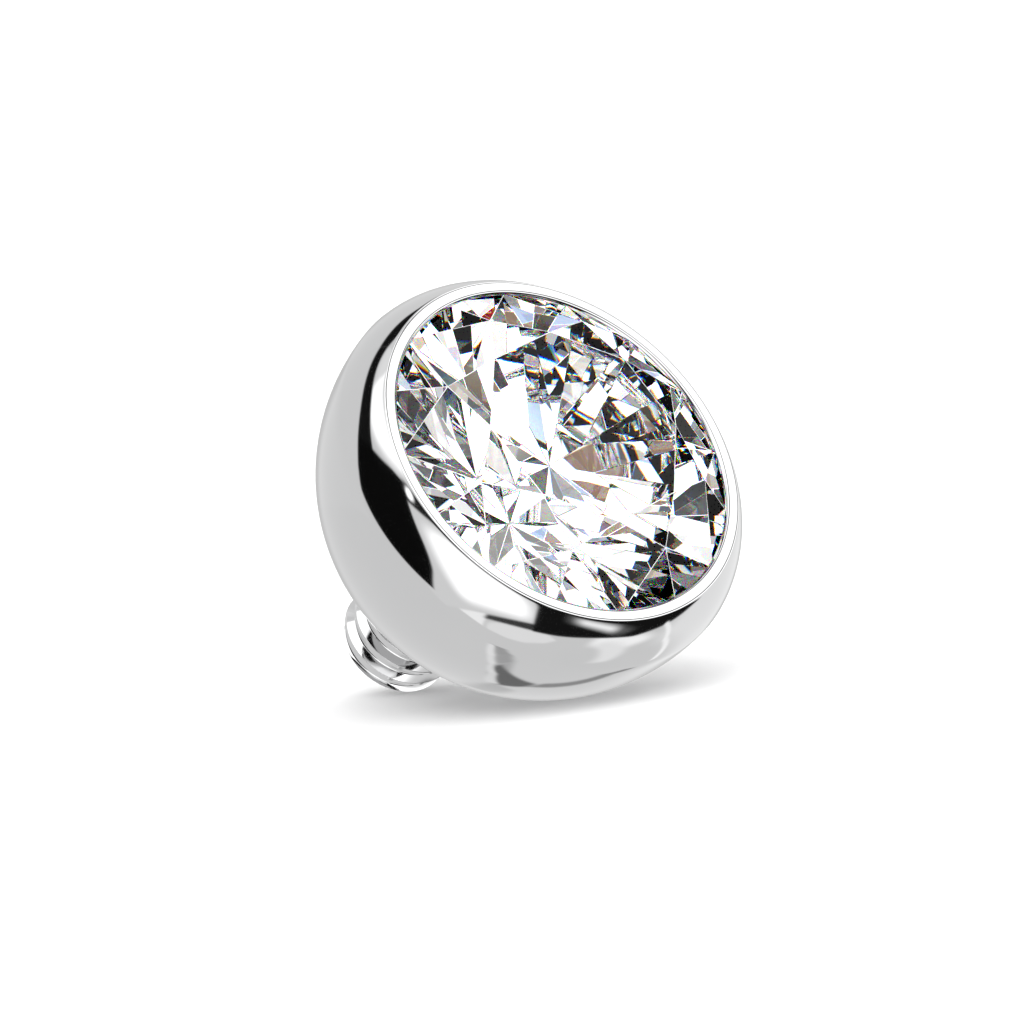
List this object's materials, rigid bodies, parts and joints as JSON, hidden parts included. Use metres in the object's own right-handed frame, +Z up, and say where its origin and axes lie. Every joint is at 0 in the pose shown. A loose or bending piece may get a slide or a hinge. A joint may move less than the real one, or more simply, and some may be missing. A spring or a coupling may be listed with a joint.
{
  "type": "bezel-set gem ball top",
  "caption": "Polished ball cup with a rounded bezel lip round a clear round brilliant, flat at the back, with a short threaded post that screws into body jewellery.",
  "frame": {"origin": "on the surface that the top lies on, under the middle of its box", "axes": "+X the way the stone leans, seen from above, with the post at -X; +Z up; the stone's own axis points 32.3 degrees above +X"},
  "size_m": [0.0052, 0.005, 0.0047],
  "materials": {
    "polished_steel": "mirror polished surgical steel",
    "clear_stone": "polished clear cubic zirconia"
  },
  "bodies": {
    "root": {"bezel_cup": "polished_steel", "gemstone": "clear_stone"}
  },
  "joints": []
}
